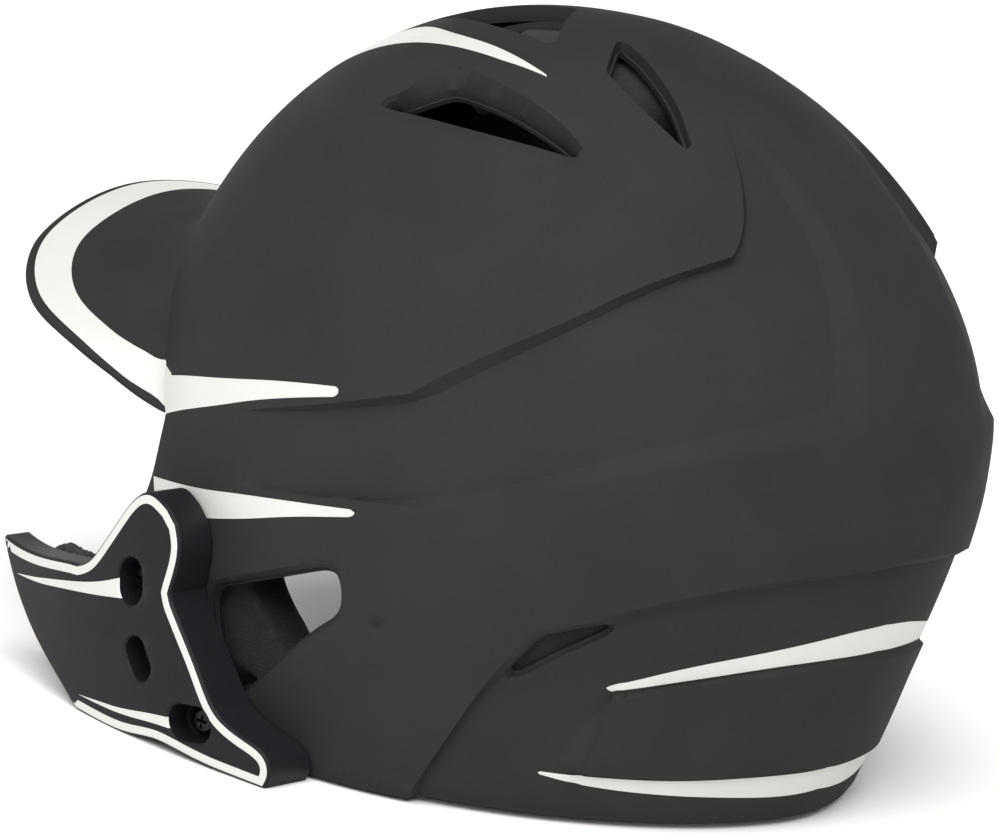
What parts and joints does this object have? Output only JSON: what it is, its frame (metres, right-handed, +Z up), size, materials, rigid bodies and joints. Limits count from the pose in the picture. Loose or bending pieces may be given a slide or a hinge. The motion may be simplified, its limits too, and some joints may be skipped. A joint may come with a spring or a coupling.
{
  "type": "batting helmet",
  "caption": "Ball-sport batting helmet: vented, sculpted hard shell with a brim and two ear flaps, a padded liner, and a face guard for the jaw bolted over one ear flap.",
  "frame": {"origin": "middle of the bounding box's floor: the plane is the one that the shell's rim stands on", "axes": "+Z up, -Y the way the wearer faces, +X the wearer's left, where the jaw guard is"},
  "size_m": [0.2242, 0.2732, 0.197],
  "materials": {
    "shell": "soft-touch matte charcoal black, with white painted stripes on the brim, temples, crown and nape",
    "guard": "satin blue-black moulded face with a white painted border line and stripes",
    "foam": "black knitted cover over soft foam",
    "screw": "gloss black pan head",
    "nut": "plain zinc"
  },
  "bodies": {
    "helmet": {"outer_shell": "shell", "forehead_pad": "foam", "front_crown_pad": "foam", "crown_pad": "foam", "rear_crown_pad": "foam", "rear_pad": "foam", "nape_pad": "foam", "temple_pad_left": "foam", "temple_pad_right": "foam", "side_pad_left": "foam", "side_pad_right": "foam", "rear_side_pad_left": "foam", "rear_side_pad_right": "foam", "ear_pad_left": "foam", "ear_pad_right": "foam", "upper_guard_nut": "nut", "lower_guard_nut": "nut"},
    "guard": {"jaw_guard": "guard", "jaw_guard_pad": "foam"},
    "upper_screw": {"upper_guard_screw": "screw"},
    "lower_screw": {"lower_guard_screw": "screw"}
  },
  "joints": [
    {"name": "guard_tilt", "type": "hinge", "parent": "helmet", "child": "guard", "pos_m": [0.10422, -0.01252, 0.0445], "axis": [1, 0, 0], "range_deg": [-4, 4]},
    {"name": "upper_screw_turn", "type": "hinge", "parent": "helmet", "child": "upper_screw", "pos_m": [0.09422, -0.02892, 0.0406], "axis": [1, 0, 0], "continuous": true},
    {"name": "lower_screw_turn", "type": "hinge", "parent": "helmet", "child": "lower_screw", "pos_m": [0.09422, -0.00102, 0.01], "axis": [1, 0, 0], "continuous": true}
  ]
}
